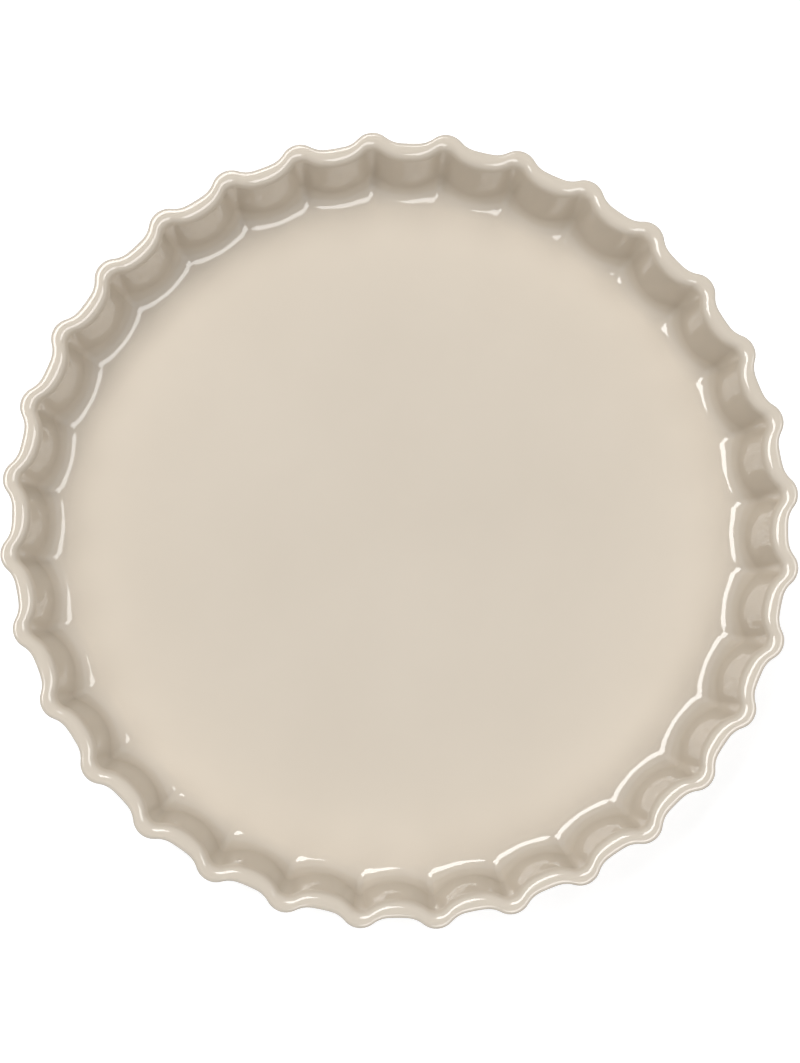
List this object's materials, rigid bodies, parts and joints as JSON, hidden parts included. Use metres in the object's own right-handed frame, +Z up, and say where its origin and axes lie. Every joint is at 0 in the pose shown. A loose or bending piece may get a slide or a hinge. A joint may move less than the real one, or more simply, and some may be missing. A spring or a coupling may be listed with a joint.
{
  "type": "fluted quiche dish",
  "caption": "Round, shallow ceramic baking dish with an upright fluted wall, a rolled rim, a flat floor and a bare clay base.",
  "frame": {"origin": "middle of the base, on the table", "axes": "+Z up out of the dish, square to its floor; +X through the crest of one flute; the flutes repeat around Z"},
  "size_m": [0.32, 0.32, 0.04],
  "materials": {
    "clay": "fired stoneware, dry and matte, left bare under the base",
    "glaze": "glossy warm beige glaze over the inside, the rim and the outside"
  },
  "bodies": {
    "root": {"stoneware_body": "clay", "glaze_coat": "glaze"}
  },
  "joints": []
}
